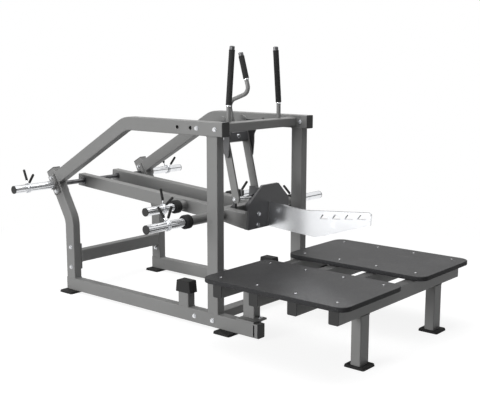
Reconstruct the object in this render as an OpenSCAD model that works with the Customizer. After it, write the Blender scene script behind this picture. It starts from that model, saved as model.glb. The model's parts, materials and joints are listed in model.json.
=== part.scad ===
// Lever deadlift machine with two standing platforms, plate horns and a lockout.
// X runs across the machine, -Y is the lifter's end, +Y is the pivot end, Z is up.
// The origin lies on the floor under the middle of the machine's length and width.

/* [Overall] */
// Length from the platforms' front edge to the rear uprights' tops
machine_len = 2510; // [2420:10:2640]
// Width over the outer faces of the two side frames
frame_w = 834; // [800:2:880]
// Height of the top rails' upper face
rail_top = 1175; // [1140:1:1220]

/* [Tubes] */
// Width of every rectangular tube, across the machine
tube_w = 58; // [54:1:62]
// Height of the rails, arms and beams
tube_h = 80; // [76:1:82]
// Depth of the uprights and posts
post_d = 80; // [76:1:84]
// Height of the flat crossbars
bar_h = 51; // [48:1:56]
// Depth of the flat crossbars
bar_d = 75; // [70:1:80]
// Wall of the rectangular tubes
wall = 3; // [2:0.5:4]
// Outer corner radius of the rectangular tubes
tube_r = 6; // [4:0.5:8]
// Inner bend radius of the bent tubes
bend_r = 120; // [100:5:150]
// Thickness of the end caps' outer flange
cap_t = 5; // [3:1:8]

/* [Side frames] */
// Lean of the rear uprights' upper part, back from the vertical
lean = 30; // [28:0.5:33]
// Height at which the rear uprights' centre line bends
knee_z = 480; // [460:5:500]
// Length of the leaning part, along the centre line
lean_len = 364; // [350:2:380]
// Height of the upright left above the top rail's joint
upright_over = 33; // [25:1:45]
// Gap between the platforms' rear edge and the front uprights
post_gap = 89; // [75:1:105]
// Top rail's overhang in front of the front upright
rail_over = 40; // [30:1:60]
// Bottom rail's overhang in front of the platform posts
base_over = 76; // [64:1:110]
// Slot in the bottom rails' outer walls behind their front ends, along and up
rail_slot = [9, 66];
// Band peg hole radius in the top rails
peg_hole_r = 11; // [8:0.5:13]
// Wall of the bushes that line the band peg holes
peg_bush_wall = 4; // [3:0.5:6]
// Places of the band peg holes behind the front uprights' centre
peg_hole_back = [160, 261];
// Places of the top rail's bolts behind the front uprights' centre
top_bolt_back = [-24, 110];
// Places of the bottom rail's bolts behind the front uprights' centre
low_bolt_back = [0, 139];

/* [Crossbars] */
// Top crossbar's centre behind the front uprights' centre
top_bar_back = 44; // [38:1:52]
// Top crossbar's upper face, below the top rail's upper face
top_bar_drop = 16; // [10:1:24]
// Bottom crossbar's centre behind the front uprights' centre
low_bar_back = 58; // [45:1:66]
// Height of the bottom crossbar's centre
low_bar_z = 54; // [45:1:60]
// Height of the rear crossbar's centre
rear_bar_z = 235; // [200:5:300]
// Height of the rear crossbar's end flanges
flange_h = 168; // [150:2:180]
// Thickness of the bolted flanges
flange_t = 8; // [6:1:10]

/* [Feet and stops] */
// Thickness of the rubber feet
foot_h = 14; // [10:1:20]
// Rail feet, across and along
rail_foot = [158, 120];
// Leg feet, across and along
leg_foot = [111, 119];
// Front rail foot's centre in front of the front uprights' centre
front_foot_ahead = 104; // [84:1:134]
// Stop post's centre behind the front uprights' centre
stop_back = 230; // [215:1:245]
// Height of the stop posts above the bottom rails
stop_post_h = 84; // [60:1:95]
// Height of the stop rubbers
stop_rubber_h = 70; // [60:1:100]
// Length of the stop rubbers at the bottom
stop_rubber_l = 113; // [90:1:120]
// Length of the stop rubbers at the top
stop_rubber_top = 96; // [76:1:110]
// Width of the stop rubbers
stop_rubber_w = 62; // [50:1:70]

/* [Platforms] */
// Height of the platforms' upper faces
platform_top = 375; // [350:1:400]
// Thickness of the platforms
platform_t = 26; // [18:1:30]
// Length of the platforms
platform_l = 910; // [880:2:940]
// Width of each platform
platform_w = 561; // [540:1:580]
// Gap between the two platforms
platform_gap = 190; // [170:2:210]
// Corner radius of the platforms
platform_r = 60; // [30:5:80]
// Distance from a platform's end to its first row of bolts
row_margin = 86; // [70:1:100]
// Distance from a platform's side to its bolts
bolt_margin = 70; // [55:1:90]
// Length of the beams, across the machine
beam_l = 1233; // [1200:1:1260]
// Legs' centre from the middle of the machine
leg_x = 378; // [360:1:395]
// Thickness of the rear posts' foot plates on the bottom rails
foot_plate_t = 10; // [6:1:12]
// Foot plates' reach in front of their posts
foot_plate_ahead = 45; // [36:1:54]

/* [Pivot and storage] */
// Pivot axis below the rear uprights' top, along their centre line
pivot_down = 107; // [95:1:120]
// Radius of the pivot shaft
shaft_r = 15; // [12:0.5:18]
// Radial running clearance of the turning pieces
running = 0.05; // [0.02:0.01:0.1]
// Radius of the plate sleeves
sleeve_r = 25; // [24:0.5:25]
// Wall of the plate sleeves
sleeve_wall = 4; // [3:0.5:6]
// Outer end of the storage horns from the middle of the machine
storage_end = 742; // [700:2:780]
// Storage flange, along and across the upright
storage_flange = [132, 56];
// Thickness of the storage flanges
storage_t = 12; // [8:1:14]
// Thickness of the bearing plates on the uprights' inner faces
bearing_t = 10; // [6:1:12]

/* [Lever] */
// Height of the arms' front end at rest, on their centre line
arm_front_z = 601.4; // [590:0.2:612]
// Arms' front end ahead of the front uprights' centre
arm_front_ahead = 42.5; // [36:0.5:50]
// Distance between the arms' inner faces
arm_gap = 246; // [240:2:252]
// Arms' length behind the pivot
arm_tail = 52; // [40:1:60]
// Thickness of the flange plate and of the front plate
plate_t = 14; // [10:1:16]
// Front plate's width
plate_w = 368; // [360:2:380]
// Front plate's lower edge below the arms' centre line
plate_low = 53; // [48:1:60]
// Front plate's upper edge above the arms' centre line
plate_high = 197; // [180:1:210]
// Front plate's top width between its corner cuts
plate_top_w = 148; // [120:2:180]
// Height at which the front plate's corner cuts start
plate_cut = 101; // [80:1:120]
// Plate bolts' half spacing, across and up
plate_bolts = [98, 33];
// Thickness of the belt tongue
tongue_t = 15; // [12:1:18]
// Height of the tongue's root below the arms' centre line
tongue_low = 50; // [44:1:52]
// Height of the tongue's root above the arms' centre line
tongue_high = 93; // [85:1:100]
// Tongue's straight length in front of the front plate
tongue_flat = 338; // [300:2:360]
// Tongue's whole length in front of the front plate
tongue_len = 690; // [660:2:720]
// Rise of the tongue's tip
tongue_rise = 147; // [130:1:160]
// Number of belt holes
hole_count = 4; // [2:1:4]
// Pitch of the belt holes
hole_pitch = 82; // [76:1:88]
// Rise of the row of belt holes in degrees
hole_slope = 10; // [9:0.5:11]
// Lower plate horns' axis behind the arms' front end
lower_horn_back = 175; // [160:1:190]
// Lower plate horns' axis above the arms' centre line
lower_horn_w = 3; // [-2:1:8]
// Lower plate horns' outer end from the middle of the machine
lower_horn_end = 796; // [760:2:820]
// Lower ring's centre from the middle of the machine
lower_ring_x = 486; // [475:1:500]
// Upper plate horns' axis behind the arms' front end
upper_horn_back = 490; // [470:1:520]
// Upper plate horns' outer end from the middle of the machine
upper_horn_end = 503; // [460:1:520]
// Upper ring's centre from the middle of the machine
upper_ring_x = 249; // [240:1:260]
// Radius of the rubber rings
ring_r = 40; // [34:1:44]
// Width of the rubber rings
ring_w = 44; // [30:1:60]
// Radius of the stub tubes between the arms and the rings
stub_r = 28; // [26:1:32]
// Centre of the crossbar between the arms, behind the arms' front end
lever_bar_back = 236; // [229:1:244]

/* [Lockout] */
// Lockout axle behind the front uprights' centre
lock_back = 186; // [181:1:191]
// Lockout axle below the top rails' upper face
lock_drop = 120; // [110:1:130]
// Lean of the lockout links, lower end forward
link_lean = 13.7; // [12.5:0.1:14.5]
// Length of the links below the axle, to the lock bar
link_down = 366; // [350:1:375]
// Length of the links above the axle
link_up = 128; // [110:1:140]
// Width of the links
link_w = 50; // [44:1:54]
// Thickness of the links
link_t = 12; // [8:1:14]
// Links' centre from the middle of the machine
link_x = 92; // [88:1:96]
// Lock bar's place ahead of the links' centre line
lock_bar_ahead = -10; // [-12:1:-6]
// Radius of the lock bar
lock_bar_r = 10; // [8:0.5:12]
// Radius of the lockout axle
axle_r = 12.5; // [10:0.5:14]
// Radius of the lockout lever's tube
lever_tube_r = 12.5; // [10:0.5:14]
// Rise of the lockout lever above its axle, to its first bend
lever_up = 170; // [150:2:190]
// Turn of the first bend in degrees
lever_turn = 83.7; // [80:0.1:88]
// Centre line radius of the first bend
lever_turn_r = 50; // [45:1:55]
// Straight length between the two bends
lever_across = 80; // [70:1:90]
// Turn of the second bend in degrees
lever_turn_back = 86; // [82:0.5:90]
// Centre line radius of the second bend
lever_back_r = 45; // [40:1:50]
// Straight length after the second bend
lever_last = 195; // [180:1:210]
// Length of the lockout lever's grip
lock_grip_l = 134; // [120:1:150]
// Depth and height of the lockout lever's hub block
hub_block = [50, 60];

/* [Handles] */
// Balance handles' foot behind the front uprights' centre
handle_back = 40; // [36:1:52]
// Balance handles' foot from the middle of the machine
handle_x = 229; // [200:1:260]
// Height of the handles' bend above the top crossbar
handle_knee = 84; // [60:1:110]
// Inward lean of the balance handles
handle_lean = 5.5; // [4:0.5:7]
// Length of the leaning part
handle_len = 336; // [300:2:360]
// Centre line radius of the handles' bend
handle_bend_r = 60; // [50:1:80]
// Radius of the handle tubes
handle_r = 12.5; // [10:0.5:14]
// Radius of the rubber grips
grip_r = 17.5; // [14:0.5:19]
// Length of the tube's tip above a grip, under its cap
grip_tip = 20; // [12:1:30]
// Length of the metal ring under a grip
grip_ring = 9; // [6:1:14]
// Wall of the metal rings and caps
grip_trim = 2; // [1:0.5:3]

/* [Spring collars] */
// Radius of the collar wire
wire_r = 3; // [2.5:0.1:3.2]
// Turns in a collar's coil
coil_turns = 3; // [3:1:4]
// Angle between a collar's two arms
collar_open = 62; // [50:1:66]
// Reach of a collar's arms from the horn's axis
collar_reach = 124; // [110:1:135]
// Inner end of the collar grips from the horn's axis
collar_grip_from = 50; // [48:1:60]
// Radius of the collar grips
collar_grip_r = 8; // [6:0.5:10]
// Collars' places on the lower horns, left and right
lower_collar_x = [636, 532];
// Collars' places on the upper horns, left and right
upper_collar_x = [356, 323];
// Collars' places on the storage horns, left and right
storage_collar_x = [634, 610];
// Turn of the collars on the lower horns, left and right
lower_collar_turn = [-13, -20];
// Turn of the collars on the upper horns, left and right
upper_collar_turn = [14, 2];
// Turn of the collars on the storage horns, left and right
storage_collar_turn = [8, 8];

/* [Hidden] */
$fn = 64;

left = -1;
right = 1;

// Colours
frame_grey = [0.42, 0.42, 0.41];
plate_grey = [0.30, 0.30, 0.31];
chrome = [0.82, 0.83, 0.85];
rubber_black = [0.07, 0.07, 0.07];
board_black = [0.16, 0.16, 0.17];
polished = [0.88, 0.89, 0.90];

// Side frame places
platform_front_y = -machine_len / 2;
row_pitch = (platform_l - 2 * row_margin) / 3;
function row_y(i) = platform_front_y + platform_l - row_margin - i * row_pitch;
front_post_y = platform_front_y + platform_l + post_gap + post_d / 2;
base_front_y = row_y(0) - post_d / 2 - base_over;
front_foot_y = front_post_y - front_foot_ahead;
stop_y = front_post_y + stop_back;
top_bar_y = front_post_y + top_bar_back;
low_bar_y = front_post_y + low_bar_back;
handle_y = front_post_y + handle_back;
side_x = frame_w / 2 - tube_w / 2;
inner_w = frame_w - 2 * tube_w;
rail_low = foot_h;
rail_z = rail_low + tube_h;
bend_centre_post = bend_r + post_d / 2;
bend_centre_rail = bend_r + tube_h / 2;
upright_y = machine_len / 2 - lean_len * sin(lean) - post_d / 2 * cos(lean);
upright_top_y = upright_y + lean_len * sin(lean);
upright_top_z = knee_z + lean_len * cos(lean);
post_take = bend_centre_post * tan(lean / 2);
top_rail_z = rail_top - tube_h / 2;
rail_front_y = front_post_y - post_d / 2 - rail_over;
rail_joint = upright_over + tube_h / 2;
rail_knee_y = upright_top_y
    - (rail_joint - (upright_top_z - top_rail_z) * cos(lean)) / sin(lean);
rail_slant = (upright_top_y - rail_knee_y) * cos(lean)
    + (top_rail_z - upright_top_z) * sin(lean) - post_d / 2;
rail_take = bend_centre_rail * tan(lean / 2);
top_bar_z = rail_top - top_bar_drop - bar_h;
rear_bar_y = upright_y - post_d / 2 + tube_w / 2;
flange_bolt = flange_h / 2 - 18;

// Platform places
platform_x = platform_gap / 2 + platform_w / 2;
beam_z = platform_top - platform_t - tube_h;
platform_post_x = frame_w / 2 - tube_w - tube_w / 2;

// Pivot and lever places
pivot_y = upright_y + (lean_len - pivot_down) * sin(lean);
pivot_z = knee_z + (lean_len - pivot_down) * cos(lean);
arm_run = pivot_y - front_post_y + arm_front_ahead;
arm_fall = pivot_z - arm_front_z;
rest_tilt = atan2(arm_fall, arm_run);
arm_reach = norm([arm_run, arm_fall]);
lower_horn_u = arm_reach - lower_horn_back;
upper_horn_u = arm_reach - upper_horn_back;
lever_bar_u = arm_reach - lever_bar_back;
arm_x = arm_gap / 2 + tube_w / 2;
arm_face = arm_gap / 2 + tube_w;
plate_face = arm_reach + 2 * plate_t;
// Distance in front of the pivot and height above the arms' line, of a resting point
function lev_u(y, z) = (pivot_y - y) * cos(rest_tilt) + (pivot_z - z) * sin(rest_tilt);
function lev_w(y, z) = (pivot_y - y) * sin(rest_tilt) - (pivot_z - z) * cos(rest_tilt);

// Lockout places
lock_y = front_post_y + lock_back;
lock_z = rail_top - lock_drop;
bar_y = lock_y - link_down * sin(link_lean) - lock_bar_ahead * cos(link_lean);
bar_z = lock_z - link_down * cos(link_lean) + lock_bar_ahead * sin(link_lean);
bar_to_pivot = norm([pivot_y - bar_y, pivot_z - bar_z]);
bar_to_axle = norm([lock_y - bar_y, lock_z - bar_z]);
hub_w = 2 * link_x - link_t;
bracket_x = link_x + link_t / 2 + 14;
bracket_t = 8;
// Corners of the bracket's plates from the axle, each [back, up, fillet radius]
bracket_corners = [[-68, 43, 10], [-52, 12, 16], [-52, -33, 10], [-42, -125, 8],
    [8, -74, 12], [35, -15, 12], [35, 45, 12]];
link_end_r = link_w / 2;
catch_x = link_x - link_t / 2 - 15;
catch_t = 18;
catch_gap = 0.3;

// Bolts
bolt_r = 6;
head_r = 11;
head_h = 7.5;
washer_r = 13;
washer_t = 2.5;
nut_h = 10;
button_r = 8.5;
button_h = 3.5;
bolt_end = 4;
hole_clear = 0.25;

// Depth of the end caps' plugs
plug_l = 15;

// Clearance of the grips and their trim on the tubes
grip_fit = 0.1;

// Lap of the bends over their straights in degrees, and the step between them
lap = 0.5;
step = 0.05;

// Collar coil
coil_pitch = 2 * wire_r + 1;
ring_steps = 8;
wire_sides = 6;
coil_r = (sleeve_r + wire_r + 0.6) / cos(180 / ring_steps);
bend_sweep = 16;
bend_rise = 9;
bend_steps = 3;

// General shapes
module rounded_rect(w, h, r) {
    square([w - 2 * r, h], center = true);
    square([w, h - 2 * r], center = true);
    for (x = [-1, 1], y = [-1, 1])
        translate([x * (w / 2 - r), y * (h / 2 - r)]) circle(r);
}
module section(w, h, inset) {
    rounded_rect(w - 2 * inset, h - 2 * inset, tube_r - inset);
}
// A YZ outline drawn across X, centred on x
module across(x, w) {
    translate([x - w / 2, 0, 0]) rotate([90, 0, 90]) linear_extrude(w) children();
}
// Rectangular tube along X, centred at a point
module tube_x(l, d, h) {
    rotate([90, 0, 90]) difference() {
        linear_extrude(l, center = true) section(d, h, 0);
        linear_extrude(l + 2, center = true) section(d, h, wall);
    }
}
// Rectangular tube along Z from the origin
module tube_z(l, w, d) {
    difference() {
        linear_extrude(l) section(w, d, 0);
        translate([0, 0, -1]) linear_extrude(l + 2) section(w, d, wall);
    }
}
// Rectangular tube along Y from the origin
module tube_y(l, w, h) {
    rotate([-90, 0, 0]) tube_z(l, w, h);
}
// A path piece that bends from +Z towards +Y about a centre at distance r.
// It laps the straights at both ends, and its section stands proud by the step.
module bend(r, angle) {
    translate([0, r, 0]) rotate([0, 90, 0]) rotate([0, 0, -90 - angle - lap])
        rotate_extrude(angle = angle + 2 * lap) translate([r, 0]) children();
}
module after_bend(r, angle) {
    translate([0, r - r * cos(angle), r * sin(angle)]) rotate([-angle, 0, 0]) children();
}
// One wall surface of a tube that runs up, bends towards +Y and runs on
module bent_solid(l1, r, angle, l2, w, d, inset, over) {
    translate([0, 0, -over]) linear_extrude(l1 + over) section(w, d, inset);
    translate([0, 0, l1]) {
        bend(r, angle) section(d, w, inset - step);
        after_bend(r, angle) linear_extrude(l2 + over) section(w, d, inset);
    }
}
module bent_tube(l1, r, angle, l2, w, d) {
    difference() {
        bent_solid(l1, r, angle, l2, w, d, 0, 0);
        bent_solid(l1, r, angle, l2, w, d, wall, 1);
    }
}
// Round bar or pipe along X between two places
module rod_x(x0, x1, r) {
    translate([x0, 0, 0]) rotate([0, 90, 0]) cylinder(h = x1 - x0, r = r);
}
module pipe_x(x0, x1, r_out, r_in) {
    difference() {
        rod_x(x0, x1, r_out);
        rod_x(x0 - 1, x1 + 1, r_in);
    }
}
// Mirrors a piece drawn on the right to the named side
module on_side(side) {
    if (side == right) children();
    else mirror([1, 0, 0]) children();
}
module both_sides() {
    for (side = [left, right]) on_side(side) children();
}
// Hexagon bolt with its head above z = 0 and its shank below
module bolt(l) {
    translate([0, 0, washer_t]) cylinder(h = head_h, r = head_r, $fn = 6);
    cylinder(h = washer_t, r = washer_r);
    translate([0, 0, -l]) cylinder(h = l, r = bolt_r);
}
module bolt_hole(l) {
    translate([0, 0, -l]) cylinder(h = l + 1, r = bolt_r + hole_clear);
}
// Button-headed board bolt with its head above z = 0 and its shank below
module button_bolt(l) {
    cylinder(h = button_h / 2, r = button_r);
    translate([0, 0, button_h / 2]) cylinder(h = button_h / 2, r1 = button_r, r2 = button_r * 0.6);
    translate([0, 0, -l]) cylinder(h = l, r = bolt_r);
}
// Bolt through a stack of the given depth, with a washer and a nut behind it
module through_bolt(l) {
    bolt(l + washer_t + nut_h + bolt_end);
    translate([0, 0, -l - washer_t]) cylinder(h = washer_t, r = washer_r);
    translate([0, 0, -l - washer_t - nut_h]) cylinder(h = nut_h, r = head_r, $fn = 6);
}
// Turns a bolt so that its head points towards +X
module facing_x() {
    rotate([0, 90, 0]) children();
}

// Outline corners, each [y, z, fillet radius]
function unit(v) = v / norm(v);
function corner_arc(p, q, s, r, n) = r <= 0 ? [q] :
    let (a = unit(p - q), b = unit(s - q), half = acos(a * b) / 2,
         c = q + unit(a + b) * (r / sin(half)),
         from = q + a * (r / tan(half)) - c, to = q + b * (r / tan(half)) - c,
         a0 = atan2(from.y, from.x), d = (atan2(to.y, to.x) - a0 + 540) % 360 - 180)
    [for (i = [0:n]) c + r * [cos(a0 + d * i / n), sin(a0 + d * i / n)]];
function rounded(p) = [for (i = [0:len(p) - 1])
    let (q = p[(i + len(p) - 1) % len(p)], s = p[(i + 1) % len(p)])
    each corner_arc([q.x, q.y], [p[i].x, p[i].y], [s.x, s.y], p[i].z, 6)];

// Frames of the moving assemblies, as they rest
module on_lever() {
    translate([0, pivot_y, pivot_z]) rotate([rest_tilt, 0, 0]) children();
}
module at_lever(u, w) {
    on_lever() translate([0, -u, w]) children();
}
module at_axle() {
    translate([0, lock_y, lock_z]) rotate([-link_lean, 0, 0]) children();
}

// Side frames
module bottom_rail(side) {
    color(frame_grey) on_side(side) difference() {
        translate([side_x, base_front_y + cap_t, rail_low + tube_h / 2])
            tube_y(upright_y + post_d / 2 - base_front_y - 2 * cap_t, tube_w, tube_h);
        rail_bolt_places() bolt_hole(tube_w + 1);
        translate([frame_w / 2 - wall - 1, base_front_y + cap_t + plug_l + 5,
                rail_low + (tube_h - rail_slot.y) / 2])
            cube([wall + 2, rail_slot.x, rail_slot.y]);
    }
}
module rear_upright(side) {
    color(frame_grey) on_side(side) difference() {
        translate([side_x, upright_y, rail_z])
            bent_tube(knee_z - rail_z - post_take, bend_centre_post, lean,
                lean_len - post_take - cap_t, tube_w, post_d);
        rear_bolt_places() bolt_hole(tube_w + 1);
        storage_bolt_places() bolt_hole(tube_w + 1);
        translate([0, pivot_y, pivot_z]) rod_x(0, frame_w, shaft_r + running);
    }
}
module top_rail(side) {
    color(frame_grey) on_side(side) difference() {
        translate([side_x, rail_front_y + cap_t, top_rail_z]) rotate([-90, 0, 0])
            bent_tube(rail_knee_y - rail_front_y - cap_t - rail_take, bend_centre_rail, lean,
                rail_slant - rail_take, tube_w, tube_h);
        peg_holes() rod_x(0, frame_w, peg_hole_r + peg_bush_wall);
        top_bolt_places() bolt_hole(tube_w + 1);
    }
    color(frame_grey) on_side(side) peg_holes()
        pipe_x(inner_w / 2, frame_w / 2, peg_hole_r + peg_bush_wall, peg_hole_r);
}
module peg_holes() {
    for (back = peg_hole_back)
        translate([0, front_post_y + back, top_rail_z]) children();
}
module front_upright(side) {
    color(frame_grey) on_side(side) translate([side_x, front_post_y, rail_z])
        tube_z(top_rail_z - tube_h / 2 - rail_z, tube_w, post_d);
}
module stop_posts() {
    color(frame_grey) both_sides() translate([side_x, stop_y, rail_z])
        tube_z(stop_post_h, tube_w, post_d);
}
module stop_rubbers() {
    top_in = (stop_rubber_l - stop_rubber_top) / 2;
    color(rubber_black) both_sides() across(side_x, stop_rubber_w)
        translate([stop_y - stop_rubber_l / 2, rail_z + stop_post_h])
            polygon(rounded([[0, 0, 2], [stop_rubber_l, 0, 2],
                [stop_rubber_l - top_in, stop_rubber_h, 5], [top_in, stop_rubber_h, 5]]));
}

// Crossbars
module rear_crossbar() {
    color(frame_grey) translate([0, rear_bar_y, rear_bar_z]) {
        tube_x(inner_w - 2 * flange_t, tube_w, tube_h);
        both_sides() difference() {
            translate([inner_w / 2 - flange_t, -tube_w / 2, -flange_h / 2])
                cube([flange_t, tube_w, flange_h]);
            for (z = [-flange_bolt, flange_bolt])
                translate([0, 0, z]) rod_x(0, frame_w, bolt_r + hole_clear);
        }
    }
}
module top_crossbar() {
    color(frame_grey) translate([0, top_bar_y, top_bar_z + bar_h / 2])
        tube_x(inner_w, bar_d, bar_h);
}
module bottom_crossbar() {
    color(frame_grey) translate([0, low_bar_y, low_bar_z]) tube_x(inner_w, bar_d, bar_h);
}

// End caps: a flange outside the tube and a plug inside it, drawn along +Z
module end_cap(w, d) {
    linear_extrude(cap_t) section(w, d, 0);
    translate([0, 0, -plug_l]) linear_extrude(plug_l) section(w, d, wall + 0.3);
}
// Round cap of a plate sleeve, drawn along +X from its seat
module sleeve_cap(x) {
    rod_x(x - cap_t, x, sleeve_r);
    rod_x(x - cap_t - plug_l, x - cap_t, sleeve_r - sleeve_wall - 0.3);
}
module frame_end_caps() {
    color(rubber_black) both_sides() {
        translate([side_x, base_front_y + cap_t, rail_low + tube_h / 2])
            rotate([90, 0, 0]) end_cap(tube_w, tube_h);
        translate([side_x, upright_y + post_d / 2 - cap_t, rail_low + tube_h / 2])
            rotate([-90, 0, 0]) end_cap(tube_w, tube_h);
        translate([side_x, rail_front_y + cap_t, top_rail_z])
            rotate([90, 0, 0]) end_cap(tube_w, tube_h);
        translate([side_x, upright_top_y, upright_top_z]) rotate([-lean, 0, 0])
            translate([0, 0, -cap_t]) end_cap(tube_w, post_d);
        for (i = [0:3])
            translate([beam_l / 2 - cap_t, row_y(i), beam_z + tube_h / 2])
                rotate([0, 90, 0]) end_cap(tube_h, tube_w);
        translate([0, pivot_y, pivot_z]) sleeve_cap(storage_end);
    }
}
module rubber_feet() {
    color(rubber_black) both_sides() {
        for (y = [upright_y, front_foot_y])
            translate([side_x, y, 0]) linear_extrude(foot_h)
                rounded_rect(rail_foot.x, rail_foot.y, 10);
        translate([leg_x, row_y(3), 0]) linear_extrude(foot_h)
            rounded_rect(leg_foot.x, leg_foot.y, 10);
    }
}

// Platforms
module platform_bolt_places() {
    for (i = [0:3], x = [-1, 1])
        translate([platform_x + x * (platform_w / 2 - bolt_margin), row_y(i), platform_top])
            children();
}
module platform(side) {
    color(board_black) on_side(side) difference() {
        translate([platform_x, platform_front_y + platform_l / 2, platform_top - platform_t])
            linear_extrude(platform_t) rounded_rect(platform_w, platform_l, platform_r);
        platform_bolt_places() bolt_hole(platform_t + 1);
    }
}
module platform_beam(i) {
    color(frame_grey) difference() {
        translate([0, row_y(i), beam_z + tube_h / 2])
            tube_x(beam_l - 2 * cap_t, tube_w, tube_h);
        both_sides() platform_bolt_places() bolt_hole(platform_t + 12);
    }
}
// Each post stands on a foot plate that lies on the bottom rail and reaches inward
module platform_posts() {
    color(frame_grey) both_sides() {
        translate([platform_post_x, row_y(0), rail_z + foot_plate_t])
            tube_z(beam_z - rail_z - foot_plate_t, tube_w, post_d);
        difference() {
            translate([platform_post_x - tube_w / 2,
                    row_y(0) - post_d / 2 - foot_plate_ahead, rail_z])
                cube([2 * tube_w, post_d + foot_plate_ahead, foot_plate_t]);
            foot_bolt_place() bolt_hole(foot_plate_t + 1);
        }
    }
}
module foot_bolt_place() {
    translate([platform_post_x, row_y(0) - post_d / 2 - foot_plate_ahead / 2,
            rail_z + foot_plate_t]) children();
}
module platform_legs() {
    color(frame_grey) both_sides() translate([leg_x, row_y(3), foot_h])
        tube_z(beam_z - foot_h, tube_h, tube_w);
}
module platform_bolts() {
    color(chrome) both_sides() platform_bolt_places() button_bolt(platform_t + 10);
}

// Frame bolts, on the outer faces
module rail_bolt_places() {
    for (back = low_bolt_back)
        translate([frame_w / 2, front_post_y + back, rail_low + tube_h / 2])
            facing_x() children();
}
module top_bolt_places() {
    for (back = top_bolt_back)
        translate([frame_w / 2, front_post_y + back, top_rail_z]) facing_x() children();
}
module rear_bolt_places() {
    for (z = [-flange_bolt, flange_bolt])
        translate([frame_w / 2, rear_bar_y, rear_bar_z + z]) facing_x() children();
}
module storage_bolt_places() {
    translate([frame_w / 2, pivot_y, pivot_z]) rotate([-lean, 0, 0])
        for (z = [-1, 1])
            translate([0, 0, z * (storage_flange.x / 2 - 18)]) facing_x() children();
}
module frame_bolts() {
    color(chrome) both_sides() {
        rail_bolt_places() through_bolt(tube_w);
        top_bolt_places() through_bolt(tube_w);
        rear_bolt_places() through_bolt(tube_w + flange_t);
        foot_bolt_place() through_bolt(foot_plate_t);
        storage_bolt_places() translate([0, 0, storage_t])
            through_bolt(storage_t + tube_w + bearing_t);
    }
}

// Storage horns and pivot shaft. Each upright has the storage flange on its outer face and a
// bearing plate with a round boss on its inner face, joined by the same bolts.
module storage_flanges() {
    color(frame_grey) both_sides() difference() {
        translate([0, pivot_y, pivot_z]) {
            flange_plate(frame_w / 2, storage_t);
            rod_x(frame_w / 2 + storage_t / 2, frame_w / 2 + storage_t + 16, sleeve_r + 7);
        }
        storage_bolt_places() translate([0, 0, storage_t]) bolt_hole(storage_t + 1);
        translate([0, pivot_y, pivot_z])
            rod_x(frame_w / 2 + storage_t, frame_w, sleeve_r + 0.1);
    }
    color(plate_grey) both_sides() difference() {
        translate([0, pivot_y, pivot_z]) {
            flange_plate(inner_w / 2 - bearing_t, bearing_t);
            rod_x(inner_w / 2 - bearing_t - 10, inner_w / 2 - bearing_t / 2, shaft_r + 9);
        }
        storage_bolt_places() bolt_hole(tube_w + bearing_t + 1);
        translate([0, pivot_y, pivot_z]) rod_x(0, frame_w, shaft_r + running);
    }
}
module flange_plate(x, t) {
    translate([x, 0, 0]) rotate([-lean, 0, 0]) rotate([90, 0, 90]) linear_extrude(t)
        rounded_rect(storage_flange.y, storage_flange.x, 6);
}
module storage_sleeve(side) {
    color(chrome) on_side(side) translate([0, pivot_y, pivot_z])
        pipe_x(frame_w / 2 + storage_t, storage_end - cap_t, sleeve_r, sleeve_r - sleeve_wall);
}
module pivot_shaft() {
    color(plate_grey) translate([0, pivot_y, pivot_z])
        rod_x(-frame_w / 2, frame_w / 2, shaft_r);
}

// Balance handles
module handle_path() {
    cylinder(h = handle_knee, r = handle_r);
    translate([0, 0, handle_knee]) rotate([0, 0, 90]) {
        bend(handle_bend_r, handle_lean) circle(handle_r + step);
        after_bend(handle_bend_r, handle_lean) cylinder(h = handle_len, r = handle_r);
    }
}
module at_handle() {
    translate([handle_x, handle_y, top_bar_z + bar_h]) children();
}
module balance_handle(side) {
    color(frame_grey) on_side(side) at_handle() handle_path();
}
module balance_grips() {
    color(rubber_black) both_sides() at_handle() translate([0, 0, handle_knee])
        rotate([0, 0, 90]) after_bend(handle_bend_r, handle_lean)
            translate([0, 0, grip_ring]) grip(handle_len - grip_tip - grip_ring, handle_r);
}
// Rubber grip drawn upward from the origin, with a metal ring under it and a cap over the tip
module grip(l, tube_r) {
    difference() {
        cylinder(h = l, r = grip_r);
        translate([0, 0, -1]) cylinder(h = l + 2, r = tube_r + grip_fit);
    }
    difference() {
        translate([0, 0, -grip_ring]) cylinder(h = grip_ring, r = tube_r + grip_trim);
        translate([0, 0, -grip_ring - 1]) cylinder(h = grip_ring + 2, r = tube_r + grip_fit);
    }
    translate([0, 0, l]) difference() {
        cylinder(h = grip_tip + grip_trim, r = tube_r + grip_trim);
        translate([0, 0, -1]) cylinder(h = grip_tip + 1, r = tube_r + grip_fit);
    }
}

// Lockout bracket and axle
module lockout_bracket() {
    rear = top_bar_y + bar_d / 2;
    top = top_bar_z + bar_h - 3;
    brace = 6;
    color(plate_grey) {
        both_sides() difference() {
            across(bracket_x, bracket_t) polygon(rounded(concat(
                [[rear, top, 0], [rear, top_bar_z, 0]],
                [for (c = bracket_corners) [lock_y + c.x, lock_z + c.y, c.z]],
                [[lock_y + 10, top, 8]])));
            translate([0, lock_y, lock_z]) rod_x(0, frame_w, axle_r + running);
        }
        across(0, 2 * bracket_x - bracket_t) translate([rear, top_bar_z + 4])
            square([brace, bar_h - 12]);
    }
}
module lockout_axle() {
    color(chrome) translate([0, lock_y, lock_z]) {
        rod_x(-bracket_x - 8, bracket_x + 8, axle_r);
        both_sides() rod_x(bracket_x + bracket_t / 2, bracket_x + 9, axle_r + 4);
    }
}

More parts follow.
